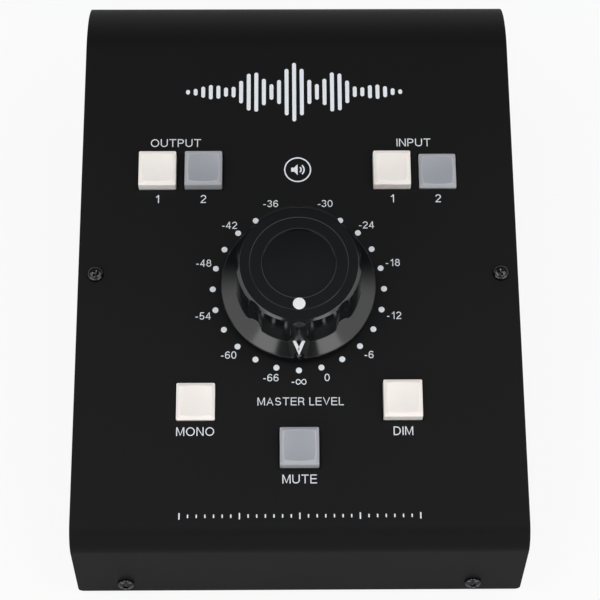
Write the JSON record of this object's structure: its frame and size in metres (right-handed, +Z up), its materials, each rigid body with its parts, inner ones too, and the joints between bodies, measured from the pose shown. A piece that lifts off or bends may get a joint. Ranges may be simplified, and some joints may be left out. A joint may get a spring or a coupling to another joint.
{
  "type": "studio monitor controller",
  "caption": "Sloping desktop box for a studio desk: a large stepped level knob, square push buttons for source, speaker, mono, dim and mute, and jack sockets in the rear wall.",
  "frame": {"origin": "under the middle of the whole box, on the surface that its feet stand on", "axes": "+Z up, +Y from the low front to the rear wall with the sockets, +X to the user's right"},
  "size_m": [0.16, 0.228, 0.0922],
  "materials": {
    "black_sheet": "fine satin black powder coat",
    "black_screw": "black oxide",
    "foot_rubber": "matt",
    "circuit_board": "green solder mask",
    "switch_plastic": "moulded",
    "tinned_metal": "tinned",
    "plated_steel": "zinc plated",
    "cast_housing": "cast",
    "resistor_body": "chip",
    "jack_plastic": "moulded",
    "jack_nut_metal": "nickel plated",
    "ribbon_sheath": "grey sheath",
    "knob_plastic": "polished black",
    "marker_white": "white",
    "insert_brass": "turned",
    "cap_white": "warm white",
    "cap_grey": "translucent grey"
  },
  "bodies": {
    "housing": {"top_cover": "black_sheet", "base_tray": "black_sheet", "cover_side_screws": "black_screw", "cover_front_screws": "black_screw", "cover_rear_screws": "black_screw", "rubber_feet": "foot_rubber", "switch_board": "circuit_board", "switch_bodies": "switch_plastic", "switch_pins": "tinned_metal", "board_standoffs": "plated_steel", "board_screws": "plated_steel", "attenuator_bushing": "plated_steel", "bush_washer": "plated_steel", "bush_nut": "plated_steel", "detent_housing": "cast_housing", "detent_rollers": "plated_steel", "detent_springs": "plated_steel", "attenuator_decks": "circuit_board", "attenuator_resistors": "resistor_body", "deck_pillars": "insert_brass", "attenuator_rear_plate": "plated_steel", "jack_sockets": "jack_plastic", "jack_nuts": "jack_nut_metal", "jack_pins": "tinned_metal", "jack_board": "circuit_board", "jack_board_spacers": "plated_steel", "jack_board_screws": "plated_steel", "board_headers": "jack_plastic", "ribbon_cable": "ribbon_sheath"},
    "level_knob": {"knob_body": "knob_plastic", "knob_top_disc": "knob_plastic", "knob_marker_dot": "marker_white", "knob_insert": "insert_brass", "knob_set_screw": "plated_steel", "attenuator_shaft": "plated_steel", "detent_wheel": "insert_brass", "attenuator_wipers": "switch_plastic"},
    "output_1_button": {"output_1_cap": "cap_white", "output_1_plunger": "switch_plastic"},
    "output_2_button": {"output_2_cap": "cap_grey", "output_2_plunger": "switch_plastic"},
    "input_1_button": {"input_1_cap": "cap_white", "input_1_plunger": "switch_plastic"},
    "input_2_button": {"input_2_cap": "cap_grey", "input_2_plunger": "switch_plastic"},
    "mono_button": {"mono_cap": "cap_white", "mono_plunger": "switch_plastic"},
    "dim_button": {"dim_cap": "cap_white", "dim_plunger": "switch_plastic"},
    "mute_button": {"mute_cap": "cap_grey", "mute_plunger": "switch_plastic"}
  },
  "joints": [
    {"name": "level_knob_turn", "type": "hinge", "parent": "housing", "child": "level_knob", "pos_m": [0, -0.0201, 0.06282], "axis": [0, 0.2045, -0.9789], "range_deg": [0, 345]},
    {"name": "output_1_press", "type": "slide", "parent": "housing", "child": "output_1_button", "axis": [0, 0.2045, -0.9789], "range_m": [0, 0.0038], "stiffness_N_per_m": 300, "springref_m": -0.003},
    {"name": "output_2_press", "type": "slide", "parent": "housing", "child": "output_2_button", "axis": [0, 0.2045, -0.9789], "range_m": [0, 0.0038], "stiffness_N_per_m": 300, "springref_m": -0.003},
    {"name": "input_1_press", "type": "slide", "parent": "housing", "child": "input_1_button", "axis": [0, 0.2045, -0.9789], "range_m": [0, 0.0038], "stiffness_N_per_m": 300, "springref_m": -0.003},
    {"name": "input_2_press", "type": "slide", "parent": "housing", "child": "input_2_button", "axis": [0, 0.2045, -0.9789], "range_m": [-0.003, 0.0008]},
    {"name": "mono_press", "type": "slide", "parent": "housing", "child": "mono_button", "axis": [0, 0.2045, -0.9789], "range_m": [-0.003, 0.0008]},
    {"name": "dim_press", "type": "slide", "parent": "housing", "child": "dim_button", "axis": [0, 0.2045, -0.9789], "range_m": [0, 0.0038], "stiffness_N_per_m": 300, "springref_m": -0.003},
    {"name": "mute_press", "type": "slide", "parent": "housing", "child": "mute_button", "axis": [0, 0.2045, -0.9789], "range_m": [0, 0.0038], "stiffness_N_per_m": 300, "springref_m": -0.003}
  ]
}
